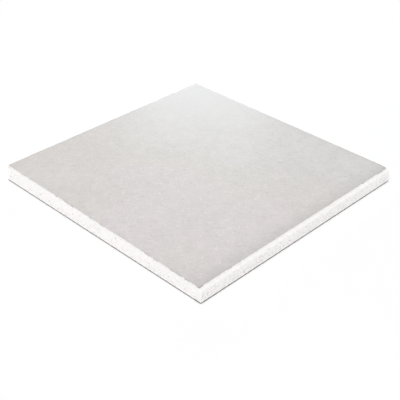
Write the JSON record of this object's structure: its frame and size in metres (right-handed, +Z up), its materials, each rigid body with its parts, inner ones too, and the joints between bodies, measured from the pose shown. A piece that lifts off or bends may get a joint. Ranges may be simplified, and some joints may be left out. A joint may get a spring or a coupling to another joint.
{
  "type": "drywall sheet",
  "caption": "Square offcut of gypsum drywall: white gypsum core between a face paper and a back paper, its edges scored and snapped.",
  "frame": {"origin": "middle of the back paper's outline, on the floor", "axes": "+Z up out of the face paper; +X and +Y along the square's two sides; the two cut edges that the picture shows are -Y and +X"},
  "size_m": [0.2173, 0.2175, 0.0127],
  "materials": {
    "gypsum": "matt, foamed, with small air pits",
    "face_paper": "smooth pale grey ivory paper with fine fibre",
    "back_paper": "rough grey recycled paper"
  },
  "bodies": {
    "root": {"gypsum_core": "gypsum", "face_paper": "face_paper", "back_paper": "back_paper"}
  },
  "joints": []
}
